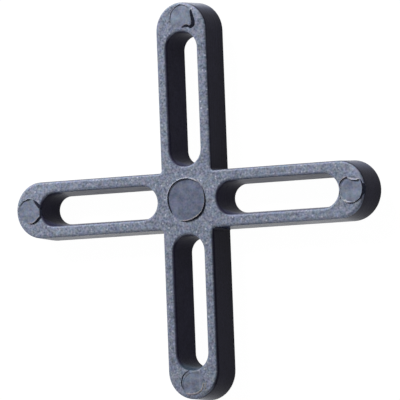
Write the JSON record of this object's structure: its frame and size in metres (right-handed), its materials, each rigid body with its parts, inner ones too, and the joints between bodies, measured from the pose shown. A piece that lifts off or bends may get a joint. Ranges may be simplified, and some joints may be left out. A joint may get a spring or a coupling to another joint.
{
  "type": "tile spacer",
  "caption": "Flat moulded cross with round-ended, slotted arms that sets an even joint between floor or wall tiles.",
  "frame": {"origin": "middle of the flat back, on the surface that the spacer lies on", "axes": "+X and +Y along two neighbouring arms, +Z out of the face with the pin marks"},
  "size_m": [0.0632, 0.0632, 0.0053],
  "materials": {
    "black_plastic": "black plastic, spark-eroded matt on the marked face and smoother on the walls and pin marks"
  },
  "bodies": {
    "root": {"tile_spacer": "black_plastic"}
  },
  "joints": []
}
